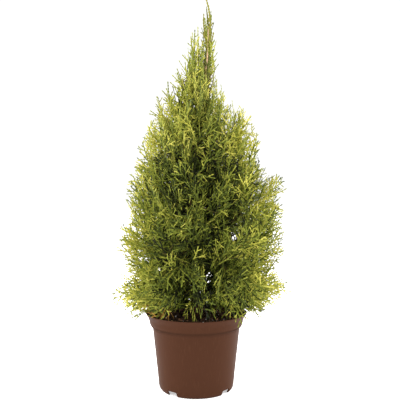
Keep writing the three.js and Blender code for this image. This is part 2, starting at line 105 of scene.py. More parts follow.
class Finish:
    """One finish of the plant or its pot, built up from nodes round a Principled shader."""

    def __init__(self, name, roughness, specular, tint=None):
        self.material = bpy.data.materials.new(name)
        self.material.use_nodes = True
        self.tree = self.material.node_tree
        self.shader = self.tree.nodes["Principled BSDF"]
        self.set("Roughness", roughness)
        self.set("Specular IOR Level", specular)
        if tint is not None:
            self.set("Base Color", colour(*tint))

    def feed(self, socket, value):
        if isinstance(value, Wire):
            self.tree.links.new(value.socket, socket)
        else:
            socket.default_value = value

    def set(self, name, value):
        self.feed(self.shader.inputs[name], value)

    def node(self, kind, settings, values, output=0):
        made = self.tree.nodes.new(kind)
        for name, setting in settings.items():
            if name == "stops":
                ends = made.color_ramp.elements
                for stop, (position, grey) in zip((ends[0], ends[1]), setting):
                    stop.position = position
                    stop.color = (grey, grey, grey, 1)
            else:
                setattr(made, name, setting)
        for name, value in values.items():
            self.feed(made.inputs[name], value)
        return Wire(self, made.outputs[output])

    def grain(self, size, detail=3, stretch=(1, 1, 1)):
        """Noise from 0 to 1 whose lumps are about this many millimetres across, longer where stretched."""
        place = self.node("ShaderNodeTexCoord", {}, {}, "Object")
        scale = tuple(1 / (size * MM * long) for long in stretch)
        place = self.node("ShaderNodeMapping", {}, {"Vector": place, "Scale": scale})
        return self.node("ShaderNodeTexNoise", {}, {"Vector": place, "Scale": 1, "Detail": detail})

    def height(self):
        """How high each place on the surface is, in metres."""
        place = self.node("ShaderNodeTexCoord", {}, {}, "Object")
        return self.node("ShaderNodeSeparateXYZ", {}, {"Vector": place}, "Z")

    def between(self, wire, low, high):
        """The wire pulled apart, so that low and below is 0 and high and above is 1."""
        return self.node("ShaderNodeValToRGB", {"stops": [(low, 0), (high, 1)]}, {"Fac": wire})

    def blend(self, mask, first, second):
        return self.node("ShaderNodeMix", {"data_type": "RGBA"}, {0: mask, 6: first, 7: second}, 2)

    def relief(self, height, depth, strength=1):
        self.set("Normal", self.node(
            "ShaderNodeBump", {}, {"Height": height, "Distance": depth * MM, "Strength": strength},
        ))


def colour(red, green, blue):
    """A plain colour from its screen values."""
    return tuple(((part / 255 + 0.055) / 1.055) ** 2.4 for part in (red, green, blue)) + (1,)


def new_object(name, data):
    made = bpy.data.objects.new(name, data)
    bpy.context.scene.collection.objects.link(made)
    return made


def place_mesh(name, mesh, finishes, nodes):
    """Puts a finished mesh on the model, in place of these solids of the frame."""
    for finish in finishes:
        mesh.materials.append(finish.material)
    piece = new_object(name, mesh)
    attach(piece, "root")
    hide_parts(*nodes)


def rounded_profile(corners, steps=4):
    """A profile whose corners, each a radius, a height and a roundness, are replaced by curves."""
    points = [corners[0][:2]]
    for before, (x, z, round_off), after in zip(corners, corners[1:], corners[2:]):
        corner = np.array([x, z])
        arms = [np.array(end[:2]) - corner for end in (before, after)]
        cut = [arm * min(0.45, round_off / max(np.linalg.norm(arm), 1e-6)) for arm in arms]
        for step in range(steps + 1):
            t = step / steps
            points.append(tuple(corner + cut[0] * (1 - t) ** 2 + cut[1] * t ** 2))
    points.append(corners[-1][:2])
    return points


def pot_profile():
    """Round the wall: from the axis under the floor, up the outside, over the lip and down the inside."""
    inside = [(radius - POT_WALL, height + POT_WALL / 2, 2) for radius, height, _ in POT_OUTSIDE[-2:1:-1]]
    floor_top = FLOOR_UNDERSIDE + POT_WALL
    return rounded_profile([
        (0, FLOOR_UNDERSIDE, 0),
        (RECESS_RADIUS, FLOOR_UNDERSIDE, 2),
        (POT_OUTSIDE[0][0] - 2 * POT_WALL, 0, 0.8),
        *POT_OUTSIDE,
        (LIP_RADIUS - POT_WALL, POT_HEIGHT, 0.7),
        *inside,
        (FLOOR_RADIUS, floor_top, 4),
        (0, floor_top, 0),
    ])


def lathe(profile, facets):
    """A closed turned form. The profile starts and ends on the axis."""
    form = bmesh.new()
    rings = []
    for radius, height in profile[1:-1]:
        turns = [2 * math.pi * facet / facets for facet in range(facets)]
        rings.append([form.verts.new((radius * math.cos(a), radius * math.sin(a), height)) for a in turns])
    ends = [form.verts.new((0, 0, profile[0][1])), form.verts.new((0, 0, profile[-1][1]))]
    for facet in range(facets):
        following = (facet + 1) % facets
        form.faces.new((ends[0], rings[0][following], rings[0][facet]))
        form.faces.new((ends[1], rings[-1][facet], rings[-1][following]))
        for lower, upper in zip(rings, rings[1:]):
            form.faces.new((lower[facet], lower[following], upper[following], upper[facet]))
    return form


def notch_cutter(form, turn):
    """Adds to form the rounded bar that cuts one notch through the foot."""
    side = NOTCH_WIDTH / 2
    outline = [(-side, -NOTCH_BELOW), (side, -NOTCH_BELOW)]
    for centre, start in ((side - NOTCH_CORNER, 0), (NOTCH_CORNER - side, 90)):
        for step in range(NOTCH_CORNER_STEPS + 1):
            angle = math.radians(start + 90 * step / NOTCH_CORNER_STEPS)
            across = centre + NOTCH_CORNER * math.cos(angle)
            outline.append((across, NOTCH_HEIGHT - NOTCH_CORNER + NOTCH_CORNER * math.sin(angle)))
    near, far = ([form.verts.new((end, *corner)) for corner in outline] for end in NOTCH_CUT)
    form.faces.new(list(reversed(near)))
    form.faces.new(far)
    for i in range(len(outline)):
        form.faces.new((near[i - 1], near[i], far[i], far[i - 1]))
    bmesh.ops.rotate(form, verts=near + far, matrix=Euler((0, 0, math.radians(turn))).to_matrix())


def drain_cutter(form, turn):
    """Adds to form the bar that cuts one drain slot through the floor."""
    bar = bmesh.ops.create_cube(form, size=1)["verts"]
    bmesh.ops.scale(form, verts=bar, vec=(*DRAIN_SIZE, 4 * POT_WALL))
    bmesh.ops.translate(form, verts=bar, vec=(DRAIN_RADIUS, 0, FLOOR_UNDERSIDE))
    bmesh.ops.rotate(form, verts=bar, matrix=Euler((0, 0, math.radians(turn))).to_matrix())


def to_mesh(name, form):
    """The mesh of a form in millimetres, which is used up."""
    bmesh.ops.scale(form, verts=form.verts, vec=(MM, MM, MM))
    bmesh.ops.recalc_face_normals(form, faces=form.faces)
    mesh = bpy.data.meshes.new(name)
    form.to_mesh(mesh)
    form.free()
    return mesh


def pot_mesh():
    """The turned pot with its notches and drain holes cut."""
    pot = new_object("pot_blank", to_mesh("pot_blank", lathe(pot_profile(), POT_FACETS)))
    cutters = bmesh.new()
    for turn in NOTCH_TURNS:
        notch_cutter(cutters, turn)
        drain_cutter(cutters, turn)
    hole = bmesh.ops.create_cone(
        cutters, cap_ends=True, segments=CENTRE_FACETS, radius1=CENTRE_HOLE, radius2=CENTRE_HOLE,
        depth=8 * POT_WALL,
    )
    bmesh.ops.translate(cutters, verts=hole["verts"], vec=(0, 0, FLOOR_UNDERSIDE))
    cutter = new_object("pot_cutters", to_mesh("pot_cutters", cutters))
    cut = pot.modifiers.new("openings", "BOOLEAN")
    cut.operation = "DIFFERENCE"
    cut.solver = "EXACT"
    cut.object = cutter
    bpy.context.view_layer.update()
    mesh = bpy.data.meshes.new_from_object(pot.evaluated_get(bpy.context.evaluated_depsgraph_get()))
    mesh.materials.clear()
    for blank in (pot, cutter):
        bpy.data.objects.remove(blank)
    mesh.shade_smooth()
    mesh.set_sharp_from_angle(angle=math.radians(POT_SHARP))
    return mesh


def pot_plastic():
    """Brown polypropylene with a satin skin: faint clouds, fine scuffs down the wall, painted shade in the
    crease under the rim.
    """
    plastic = Finish("brown_polypropylene", 0.5, 0.03)
    cloud = plastic.grain(46, 2)
    height = plastic.height()
    # Painted shade: a dark band in the crease under the rim's step, which is also made rougher.
    crease_shade = plastic.between(height, *CREASE_SHADE_BEGINS) * (1 - plastic.between(height, *CREASE_SHADE_ENDS))
    scuffs = plastic.between(plastic.grain(2.2, 4, (1, 1, 9)), 0.56, 0.74)
    body = plastic.blend(cloud, colour(61, 36, 23), colour(64, 38, 25))
    body = plastic.blend(scuffs * 0.08, body, colour(118, 84, 64))
    # The crease under the rim is darkened halfway to near black, as painted shade.
    plastic.set("Base Color", plastic.blend(crease_shade * 0.5, body, colour(30, 20, 14)))
    plastic.set("Roughness", 0.42 + 0.16 * cloud + 0.12 * scuffs + 0.4 * crease_shade)
    plastic.relief(plastic.grain(0.9, 2) + 0.6 * scuffs, 0.05, 0.35)
    return plastic


place_mesh("pot_shell", pot_mesh(), [pot_plastic()], ["pot"])

# ---------------------------------------------------------------- soil
# Peat potting soil, pressed in by hand to just under the lip. It is crumbly and dark, with white grains of
# perlite and chips of bark in its top.
SOIL_EDGE = 129
SOIL_CROWN = 133
SOIL_FLAT = 14
SOIL_LUMP = 2.2
SOIL_RADIUS = 85.6
SOIL_RINGS = 44
SOIL_FACETS = 160
SOIL_BOTTOM = FLOOR_UNDERSIDE + POT_WALL + 0.3
# Radius and height of the soil's side, which follows the inside of the pot from its floor up.
SOIL_SIDE = [(67.2, SOIL_BOTTOM), (79.2, 115), (82.8, 118.6), (84.6, 123), (SOIL_RADIUS, 127)]
CLOD_SIZE = 7
CLOD_HEIGHT = 1.5
CLOD_START = 20  # how far from the axis they have their full height
# Grains on the soil: how many, how far out they lie, their radii, and how flat they are in Y and Z.
GRAIN_START = 9
CRUMBS = {"count": 1100, "seed": 20, "reach": 83, "sizes": (0.9, 3.4), "flatness": (0.85, 0.7)}
PERLITE = {"count": 58, "seed": 9000, "reach": 82, "sizes": (0.9, 2.1), "flatness": (0.9, 0.8)}
CHIPS = {"count": 150, "seed": 14000, "reach": 81, "sizes": (2.2, 6.5), "flatness": (0.34, 0.22)}


def chance(seed):
    """A number from 0 to 1 that always is the same for the same seed."""
    s = np.sin(np.asarray(seed, float) * 12.9898) * 43758.5453
    return s - np.floor(s)


def soil_top(radius, angle):
    """The height of the soil: a low mound, flat under the trunk and lumpy towards the wall."""
    share = min(1, max(0, (radius - SOIL_FLAT) / (SOIL_RADIUS - SOIL_FLAT)))
    lumps = math.sin(3 * angle + 0.09 * radius) * math.cos(2 * angle - 0.06 * radius)
    return SOIL_CROWN + (SOIL_EDGE - SOIL_CROWN) * share + SOIL_LUMP * lumps * 4 * share * (1 - share)


def soil_form():
    """The bed of soil as one closed body, its top broken up into clods. They are lower round the trunk."""
    top = [(SOIL_RADIUS * (1 - ring / SOIL_RINGS), SOIL_CROWN) for ring in range(SOIL_RINGS)]
    form = lathe([(0, SOIL_BOTTOM), *SOIL_SIDE, *top, (0, SOIL_CROWN)], SOIL_FACETS)
    form.verts.ensure_lookup_table()
    for vertex in form.verts[len(SOIL_SIDE) * SOIL_FACETS:-2]:
        x, y, _ = vertex.co
        radius = math.hypot(x, y)
        clods = noise.fractal(Vector((x, y, 0)) / CLOD_SIZE, 0.6, 2.1, 4)
        vertex.co.z = soil_top(radius, math.atan2(y, x))
        vertex.co.z += CLOD_HEIGHT * clods * (0.35 + 0.65 * min(1, radius / CLOD_START))
    return form


def soil_peat():
    """Moist peat: nearly black between the crumbs, brown where fibres catch the light."""
    peat = Finish("moist_peat", 0.95, 0.2)
    fibres = peat.between(peat.grain(3.2, 5), 0.42, 0.66)
    peat.set("Base Color", peat.blend(fibres, colour(46, 34, 25), colour(98, 72, 52)))
    peat.relief(peat.grain(1.6, 6), 1.2, 0.9)
    return peat


def place_grains(name, finish, count, seed, reach, sizes, flatness):
    """So many rough grains that lie on the soil, up to this far from the axis."""
    form = bmesh.new()
    for i in range(count):
        radius = GRAIN_START + (reach - GRAIN_START) * math.sqrt(chance(seed + 5 * i))
        angle = 2 * math.pi * chance(seed + 5 * i + 1)
        size = sizes[0] + (sizes[1] - sizes[0]) * chance(seed + 5 * i + 2) ** 2
        grain = bmesh.ops.create_icosphere(form, subdivisions=1, radius=size)["verts"]
        turn = Euler((0.5 * chance(seed + 5 * i + 3), 0.5 * chance(seed + 5 * i + 4), angle * 3))
        for k, vertex in enumerate(grain):
            vertex.co *= 0.7 + 0.6 * chance(seed + 13 * i + k)
            vertex.co.y *= flatness[0]
            vertex.co.z *= flatness[1]
            vertex.co.rotate(turn)
            vertex.co.x += radius * math.cos(angle)
            vertex.co.y += radius * math.sin(angle)
            vertex.co.z += soil_top(radius, angle) + 0.25 * size
    place_mesh(name, to_mesh(name, form), [finish], ["soil"])


def perlite_white():
    """Expanded volcanic glass: off-white and chalky."""
    perlite = Finish("perlite", 0.85, 0.3)
    perlite.set("Base Color", perlite.blend(perlite.grain(1.4), colour(206, 200, 190), colour(240, 238, 232)))
    perlite.relief(perlite.grain(0.5), 0.2, 0.6)
    return perlite


def chip_bark():
    """Composted bark, red-brown with paler broken faces."""
    chips = Finish("composted_bark", 0.9, 0.2)
    faces = chips.between(chips.grain(5, 2), 0.4, 0.62)
    chips.set("Base Color", chips.blend(faces, colour(92, 58, 40), colour(176, 134, 98)))
    chips.relief(chips.grain(0.9, 4, (4, 1, 1)), 0.4, 0.8)
    return chips


peat = soil_peat()
soil_mesh = to_mesh("soil_bed", soil_form())
soil_mesh.shade_smooth()
place_mesh("soil_bed", soil_mesh, [peat], ["soil"])
place_grains("soil_crumbs", peat, **CRUMBS)
place_grains("perlite_grains", perlite_white(), **PERLITE)
place_grains("bark_chips", chip_bark(), **CHIPS)

# ---------------------------------------------------------------- trunk and boughs
# One trunk, wood under thin red-brown bark that splits into fibrous strips. It flares at the soil and leans
# to the plant's right. The boughs leave it in tiers, and each runs on as the stem of its own mass of foliage.
TRUNK_GROUND = SOIL_CROWN + 0.3
TRUNK_TOP = 622
TRUNK_FOOT = 6.4
TRUNK_FLARE = 3.4
TRUNK_FLARE_HEIGHT = 14
TRUNK_TIP = 1.5
TRUNK_LEAN = 21
TRUNK_SWAY = 5
TRUNK_SUNK = 2  # how far its foot goes into the soil
TRUNK_SIDES = 40
TRUNK_RINGS = 200
BOUGH_SIDES = 10
BOUGH_RINGS = 26
BOUGH_STAGGER = 12
BOUGH_SHARE = 0.34  # of a limb's length that is bough, before its foliage begins
BOUGH_NECK = 0.62
BOUGH_TIP = 0.63
LEADER_THINNEST = 0.9
LIMB_STEPS = 90
# How wide the strips of bark are, and how deep their relief is as a share of the limb's radius.
TRUNK_BARK = (1.7, 0.16)
BOUGH_BARK = (1.2, 0.14)
LEADER_BARK = (1.2, 0.1)
YOUNG_BARK = (0.52, 0.6)  # heights in metres between which the trunk's bark turns young and pale

# Each tier: the height of its boughs' feet, how far the limbs arch, and the radius of a bough's foot. Each
# bough: its azimuth, how far out and how high its stem ends.
TIERS = {
    "skirt": (150, 12, 3, {
        "right": (2, 112, 176), "back_right": (60, 92, 172), "back_left": (120, 92, 172),
        "left": (180, 106, 170), "front_left": (237, 90, 170), "front_right": (310, 92, 170),
    }),
    "low": (182, 4, 3.2, {
        "right": (4, 112, 262), "back_right": (62, 94, 258), "back_left": (124, 96, 262),
        "left": (186, 94, 256), "front_left": (240, 92, 252), "front_right": (306, 92, 250),
    }),
    "middle": (246, -6, 2.8, {
        "right": (350, 104, 352), "back_right": (46, 84, 356), "back_left": (120, 78, 350),
        "left": (184, 84, 356), "front": (262, 74, 350),
    }),
    "upper": (336, -12, 2.2, {
        "right": (2, 76, 460), "back": (96, 54, 456), "left": (180, 54, 468), "front": (272, 50, 452),
    }),
    "top": (448, -8, 1.6, {
        "right": (330, 30, 552), "back": (90, 22, 560), "left": (205, 30, 560),
    }),
    "crest": (528, 0, 1.3, {"left": (180, -1, 636), "right": (8, 34, 606)}),
}
LEADER_END = (23, 0, 676)


def unit(vectors):
    return vectors / np.maximum(np.linalg.norm(vectors, axis=-1, keepdims=True), 1e-9)


def place_at(azimuth, reach, height):
    """The place so far from the axis and so high, its azimuth in degrees: 0 to the right, 90 to the back."""
    turn = math.radians(azimuth)
    return np.array([math.cos(turn) * reach, math.sin(turn) * reach, height])


def trunk_at(height):
    share = (height - TRUNK_GROUND) / (TRUNK_TOP - TRUNK_GROUND)
    return np.array([TRUNK_LEAN * share ** 2, -TRUNK_SWAY * math.sin(math.pi * share), height])


def trunk_radius(height):
    share = (height - TRUNK_GROUND) / (TRUNK_TOP - TRUNK_GROUND)
    flare = TRUNK_FLARE * math.exp(-(height - TRUNK_GROUND) / TRUNK_FLARE_HEIGHT)
    return TRUNK_FOOT + (TRUNK_TIP - TRUNK_FOOT) * share + flare


def even_steps(points, count):
    """The same line in so many steps of equal length."""
    gone = np.concatenate([[0], np.cumsum(np.linalg.norm(np.diff(points, axis=0), axis=1))])
    wanted = np.linspace(0, gone[-1], count + 1)
    return np.stack([np.interp(wanted, gone, points[:, i]) for i in range(3)], axis=1)


def limb_line(foot, arch, azimuth, reach, height):
    """A limb's line from the trunk's axis to the end of its stem."""
    start = trunk_at(foot)
    end = place_at(azimuth, reach, height)
    middle = (start + end) / 2 + np.array([0, 0, 2 * arch])
    t = np.linspace(0, 1, LIMB_STEPS + 1)[:, None]
    return even_steps((1 - t) ** 2 * start + 2 * t * (1 - t) * middle + t ** 2 * end, LIMB_STEPS)


def tube(points, radii, sides):
    """Rings of corners round a line, and the four-cornered faces between them. The ends are open.

    Radii has a row for each point: one radius, or one for each side."""
    ahead = unit(np.gradient(points, axis=0))
    aside = np.eye(3)[np.argmin(np.abs(points[-1] - points[0]))]
    across = unit(np.cross(ahead, aside))
    upright = np.cross(across, ahead)
    turns = 2 * math.pi * np.arange(sides) / sides
    spokes = (
        np.cos(turns)[None, :, None] * across[:, None, :] + np.sin(turns)[None, :, None] * upright[:, None, :]
    )
    corners = (points[:, None, :] + spokes * np.asarray(radii)[:, :, None]).reshape(-1, 3)
    ring, side = np.meshgrid(np.arange(len(points) - 1), np.arange(sides), indexing="ij")
    here = ring * sides + side
    beside = ring * sides + (side + 1) % sides
    faces = np.stack([here, here + sides, beside + sides, beside], axis=-1).reshape(-1, 4)
    return corners, faces


def gathered(parts):
    """Several rows of corners and faces as one."""
    corners = np.concatenate([part[0] for part in parts])
    offsets = np.cumsum([0] + [len(part[0]) for part in parts[:-1]])
    faces = np.concatenate([part[1] + offset for part, offset in zip(parts, offsets)])
    return corners, faces


def mesh_of(name, corners, faces, dealt=None, smooth=True):
    """A mesh in metres from corners in millimetres. Dealt says which of its finishes each face takes."""
    mesh = bpy.data.meshes.new(name)
    mesh.vertices.add(len(corners))
    mesh.vertices.foreach_set("co", (np.asarray(corners, np.float32) * MM).ravel())
    mesh.loops.add(faces.size)
    mesh.loops.foreach_set("vertex_index", np.asarray(faces, np.int32).ravel())
    mesh.polygons.add(len(faces))
    mesh.polygons.foreach_set("loop_start", np.arange(0, faces.size, faces.shape[1], dtype=np.int32))
    mesh.polygons.foreach_set("use_smooth", np.full(len(faces), smooth))
    if dealt is not None:
        mesh.polygons.foreach_set("material_index", np.asarray(dealt, np.int32))
    mesh.update(calc_edges=True)
    return mesh


def barked(points, radii, sides, strip, depth):
    """A limb whose fibrous bark has strips this wide round it, and a share of its radius deep."""
    rows = []
    for point, radius in zip(points, radii):
        row = []
        for side in range(sides):
            turn = 2 * math.pi * side / sides
            spot = Vector((math.cos(turn) * radius, math.sin(turn) * radius, point[2] / 7)) / strip
            row.append(radius * (1 + depth * noise.fractal(spot, 0.8, 2.2, 3)))
        rows.append(row)
    return tube(points, rows, sides)


def trunk_form():
    """The trunk, its rings closer together in the flare."""
    foot = TRUNK_GROUND - TRUNK_SUNK
    heights = foot + (TRUNK_TOP - foot) * (np.arange(TRUNK_RINGS + 1) / TRUNK_RINGS) ** 1.3
    points = np.array([trunk_at(height) for height in heights])
    radii = [trunk_radius(max(height, TRUNK_GROUND)) for height in heights]
    return barked(points, radii, TRUNK_SIDES, *TRUNK_BARK)


def bough_form(line, radius):
    """A bough and the stem it runs on as, in one taper."""
    points = even_steps(line, BOUGH_RINGS)
    share = np.linspace(0, 1, BOUGH_RINGS + 1)
    radii = np.interp(share, [0, BOUGH_SHARE, 1], [radius, radius * BOUGH_NECK, BOUGH_TIP])
    return barked(points, radii, BOUGH_SIDES, *BOUGH_BARK)


def bark_fibre():
    """Thuja bark: red-brown fibres, grey where they have weathered and pale where they are young."""
    bark = Finish("thuja_bark", 0.9, 0.2)
    strips = bark.between(bark.grain(1.5, 4, (1, 1, 7)), 0.36, 0.64)
    weathered = bark.between(bark.grain(16, 3), 0.45, 0.65)
    fibre = bark.blend(strips, colour(36, 22, 15), colour(96, 62, 42))
    fibre = bark.blend(bark.between(bark.height(), *YOUNG_BARK), fibre, colour(214, 180, 144))
    bark.set("Base Color", bark.blend(weathered * 0.4, fibre, colour(84, 74, 62)))
    bark.relief(strips + 0.5 * bark.grain(0.5, 2, (1, 1, 5)), 0.5, 0.8)
    return bark


limbs = []
for tier, (foot, arch, radius, boughs) in TIERS.items():
    for k, (side, (azimuth, reach, height)) in enumerate(boughs.items()):
        line = limb_line(foot + BOUGH_STAGGER * (k % 2), arch, azimuth, reach, height)
        limbs.append({"tier": tier, "side": side, "azimuth": azimuth, "radius": radius, "line": line})

leader_stem = even_steps(np.array([trunk_at(TRUNK_TOP), LEADER_END]), LIMB_STEPS)
leader_radii = np.linspace(TRUNK_TIP, LEADER_THINNEST, BOUGH_RINGS + 1)
leader_bark = barked(even_steps(leader_stem, BOUGH_RINGS), leader_radii, BOUGH_SIDES, *LEADER_BARK)

bark = bark_fibre()
place_mesh("trunk_bark", mesh_of("trunk_bark", *trunk_form()), [bark], ["trunk"])
place_mesh("leader_bark", mesh_of("leader_bark", *leader_bark), [bark], ["leader_foliage"])
bough_parts = [bough_form(limb["line"], limb["radius"]) for limb in limbs]
bough_nodes = [f"{limb['tier']}_bough_{limb['side']}" for limb in limbs]
place_mesh("bough_bark", mesh_of("bough_bark", *gathered(bough_parts)), [bark], bough_nodes)

# ---------------------------------------------------------------- twigs and fronds
# Flat fronds of scale leaves on thin twigs. The tips of the fronds climb the crown's surface in a spiral, and
# each twig leaves a mass's stem where the way to its frond's tip is easiest.
GOLDEN_ANGLE = 137.5

# The crown's outline: height, then its reach to the right, to the left, and to the front and back.
CROWN = np.array([
    [124, 96, 92, 92], [134, 134, 132, 112], [146, 144, 162, 122],
    [164, 154, 148, 134], [181, 168, 150, 140], [200, 167, 140, 142],
    [222, 146, 134, 144], [240, 152, 134, 145], [256, 168, 148, 144],
    [275, 154, 148, 143], [294, 166, 142, 142], [313, 162, 120, 138],
    [330, 170, 124, 134], [350, 142, 128, 131], [369, 158, 132, 128],
    [390, 154, 122, 125], [404, 146, 122, 122], [418, 112, 116, 118],
    [434, 108, 108, 112], [456, 122, 100, 106], [490, 112, 88, 96],
    [508, 104, 90, 92], [524, 90, 82, 84], [538, 60, 80, 74],
    [557, 46, 66, 60], [576, 43, 54, 50], [600, 40, 38, 38],
    [640, 36, 18, 24], [672, 30, 8, 14],
])
# Folds in the crown: azimuth and half width in degrees, the share of the reach they take away, and the
# heights they begin and end at.
FOLDS = [
    (263, 7, 0.4, 165, 290),
    (290, 9, 0.4, 240, 350),
    (285, 7, 0.35, 340, 420),
    (274, 8, 0.35, 410, 520),
    (212, 8, 0.25, 126, 440),
    (152, 9, 0.3, 126, 460),
    (104, 9, 0.3, 126, 480),
    (30, 8, 0.3, 126, 460),
]
FOLD_FADE = 30
OUTLINE_TOP = 632  # above it fronds may leave the outline
# How many degrees above level the fronds point, by height, and how far they vary in rise and in azimuth.
POINTING = np.array([
    [130, -50], [150, -34], [180, -8], [210, 22], [240, 44],
    [300, 52], [380, 58], [560, 62], [640, 74], [720, 86],
])
POINTING_SPREAD = (84, 80)
LOWEST_POINTING = -60
DROOP = 60  # degrees lower that the fronds point at the front and back of the lower crown
DROOP_TOP = 440
DROOP_FADE = 160
# How a frond grows.
HABIT = {
    "upright": 90,  # how steep its plane is, in degrees
    "broad": 1,  # how much broader its leaves are
    "finest": 3,  # how many times its shoots fork
    "pull": 0.7,  # how far it follows the way free fronds point
    "lightest": 5,  # the lightest tint it may have
    "steady": 96,  # the reach from root to tip that it grows to best
    "mass": None,  # the number of the one mass it may grow from
    "tint": None,  # a tint of its own, for a single frond
    "wave": None,  # how far it turns on its way, in radians
}
# The fronds of the crown: how many are tried, between which heights, at which shares of the crown's reach.
OUTER = {**HABIT, "count": 980, "seed": 11, "heights": (124, 672), "depths": (0.86, 1.02)}
INNER = {
    **HABIT, "count": 440, "seed": 501, "heights": (124, 640), "depths": (0.25, 0.8),
    "upright": 0, "broad": 1.5, "finest": 2, "lightest": 4,
}
LOWEST = {
    **HABIT, "count": 150, "seed": 801, "heights": (132, 250), "depths": (0.45, 0.8),
    "upright": 45, "broad": 1.7, "finest": 2, "lightest": 3,
}
FILLING = {
    **HABIT, "count": 230, "seed": 1201, "heights": (134, 600), "depths": (0.7, 0.92),
    "upright": 45, "broad": 1.2, "finest": 2, "lightest": 4,
}
LUMP = 34  # millimetres across the lumps that fronds gather in
LUMP_DEPTH = 0.26
VIEWPOINT = np.array([7, -1042, 350])  # in front of the plant, where the camera stands too
# Openings in the crown that lead away from the viewpoint: how far back in Y they end, then across, height and
# half width of each where it passes the trunk. The young trunk's bark shows in those of the second list.
OPENINGS = (200, [
    (24, 209, 5), (22, 199, 4), (-12, 192, 4.5), (-68, 220, 2), (-62, 213, 1.5), (70, 278, 2.5),
])
BARE_BARK = (-1, [
    (17.5, 590, 2.4), (18.5, 600, 3), (19.5, 610, 3.4), (20.5, 620, 3.6),
    (21, 630, 3.6), (21.5, 640, 3.4), (22, 650, 2.8), (22, 660, 2),
])
OPENING_EDGE = 1.5
CROSSING = 0.12  # the share of fronds that cross the openings all the same
FROND_LENGTHS = np.array([[130, 84], [300, 92], [460, 84], [560, 76], [620, 66]])  # by height
FROND_BREADTHS = np.array([[480, 0.42], [600, 0.2]])  # shares of the length, by height
THINNEST = 0.2  # the share of the tips that is kept where the crown has no width
LONGEST_REACH = 136
SHORTEST_REACH = 26
STEEPEST = 68  # degrees a twig may leave its stem at
EASY = 38  # degrees it leaves at best
BEND = 60  # millimetres of reach that a radian more or less counts for
CROWDING = 14  # and that each twig at the same place counts for
ROOTS_ON_STEM = 72
CROSSED = 4  # one frond in so many lies across the others
ROLL_SPREAD = 70  # degrees
BOW_SPREAD = 0.3
HANG = 28  # how far single fronds hang past the lip
SIDE_HANG = (20, 2)  # and the crown as a whole, to the right and to the left
LIP_MARGIN = (8, 3)  # how far inside and outside the lip fronds clear its height
CLEARING = 30  # how much higher above soil and lip most fronds end at the front
CLEARING_AZIMUTH = -76
LOW_SHARE = 0.1  # the share of fronds that may end lower there
PROUD = 15  # how far a frond's side shoots may stand out of the crown's outline
BROWNED = 5  # leaves that stand out are a tint darker for each so many millimetres, two at most
LEAF_PITCH = 5.6
LEAF_WIDTH = 2.9
LEAF_TAPER = 0.22
LEAF_FLATNESS = 0.5
LEAF_WAIST = 0.72  # where along it a leaf pair is broadest
LEAF_FOOT = 0.55  # how much of its length it reaches back into the one before it
LEAF_TIP = 0.3  # and on past its end
FORK_SPACING = 9.5
FORK_ANGLE = math.radians(43)
FORK_CURL = 0.35
SHORTEST_SHOOT = 8
SHOOT_END = 5  # of a shoot's length that bears no side shoot
TWIG_MARGIN = 2  # how far twigs stay inside the crown's outline
TWIG_BEND = 0.35
TWIG_POINTS = 6
TWIG_RADII = (0.9, 0.6)
TWIG_SIDES = 4


def by_height(table, height, column=1):
    """What a table gives at a height. Its first column holds the heights."""
    return np.interp(height, table[:, 0], table[:, column])


def folded(height, azimuth, fold):
    """How far into a fold a place is, from 0 beside it to 1 at its bottom."""
    middle, half, _, bottom, top = fold
    off = (azimuth - middle + 180) % 360 - 180
    within = np.clip(np.minimum(height - bottom, top - height) / FOLD_FADE + 0.5, 0, 1)
    return within * np.exp(-(off / half) ** 2)


def crown_reach(height, azimuth):
    """The crown's reach at heights, towards azimuths in degrees."""
    right, left, depth = (by_height(CROWN, height, column) for column in (1, 2, 3))
    turn = np.radians(azimuth)
    side = np.where(np.cos(turn) > 0, right, left)
    reach = 1 / np.hypot(np.cos(turn) / side, np.sin(turn) / depth)
    for fold in FOLDS:
        reach = reach * (1 - fold[2] * folded(height, azimuth, fold))
    return reach


def lump_at(place):
    """Above nought where fronds gather, below nought between them."""
    return noise.noise(Vector(place) / LUMP)


def crown_tips(kind):
    """Where fronds would end: a spiral up the crown, with fewer of them where the crown is narrow."""
    count, seed, depths = kind["count"], kind["seed"], kind["depths"]
    bottom, top = kind["heights"]
    widest = CROWN[:, 1].max()
    tips = []
    for i in range(count):
        height = bottom + (top - bottom) * (i + chance(seed + i)) / count
        azimuth = (GOLDEN_ANGLE * i) % 360
        reach = crown_reach(height, azimuth)
        if reach < (chance(seed + 3 * i + 1) - THINNEST) * widest:
            continue
        depth = depths[0] + (depths[1] - depths[0]) * chance(seed + 7 * i + 2)
        depth *= 1 + LUMP_DEPTH * lump_at(place_at(azimuth, reach, height))
        tips.append((i, azimuth, depth, place_at(azimuth, reach * depth, height)))
    return tips


# The leader is the stem of the last mass.
limbs.append({"tier": "leader", "side": "", "azimuth": 0, "line": leader_stem})
# Every place on the stems that a twig may leave from: where it is, how its stem heads there, and its mass.
places, forwards, masses = [], [], []
for mass, limb in enumerate(limbs):
    first = 0 if limb["tier"] == "leader" else int(BOUGH_SHARE * LIMB_STEPS)
    chosen = np.linspace(first, LIMB_STEPS, ROOTS_ON_STEM).round().astype(int)
    places.append(limb["line"][chosen])
    forwards.append(unit(np.gradient(limb["line"], axis=0))[chosen])
    masses.append(np.full(ROOTS_ON_STEM, mass))
places, forwards, masses = (np.concatenate(column) for column in (places, forwards, masses))
used = np.zeros(len(places))


def easiest_root(tip, steady, only):
    """The number of the easiest place to grow to a tip from, or None. Steady is the best reach."""
    way = tip - places
    reach = np.linalg.norm(way, axis=1)
    lean = np.arccos(np.clip((unit(way) * forwards).sum(axis=1), -1, 1))
    cost = np.abs(reach - steady) + BEND * np.abs(lean - math.radians(EASY)) + CROWDING * used
    cost[(lean > math.radians(STEEPEST)) | (reach < SHORTEST_REACH) | (reach > LONGEST_REACH)] = np.inf
    if only is not None:
        cost[masses != only] = np.inf
    best = int(np.argmin(cost))
    if not np.isfinite(cost[best]):
        return None
    used[best] += 1
    return best


def draws(seed):
    """Numbers from 0 to 1 without end, the same ones for the same seed."""
    count = 0
    while True:
        count += 1
        yield float(chance(seed * 7.13 + count))


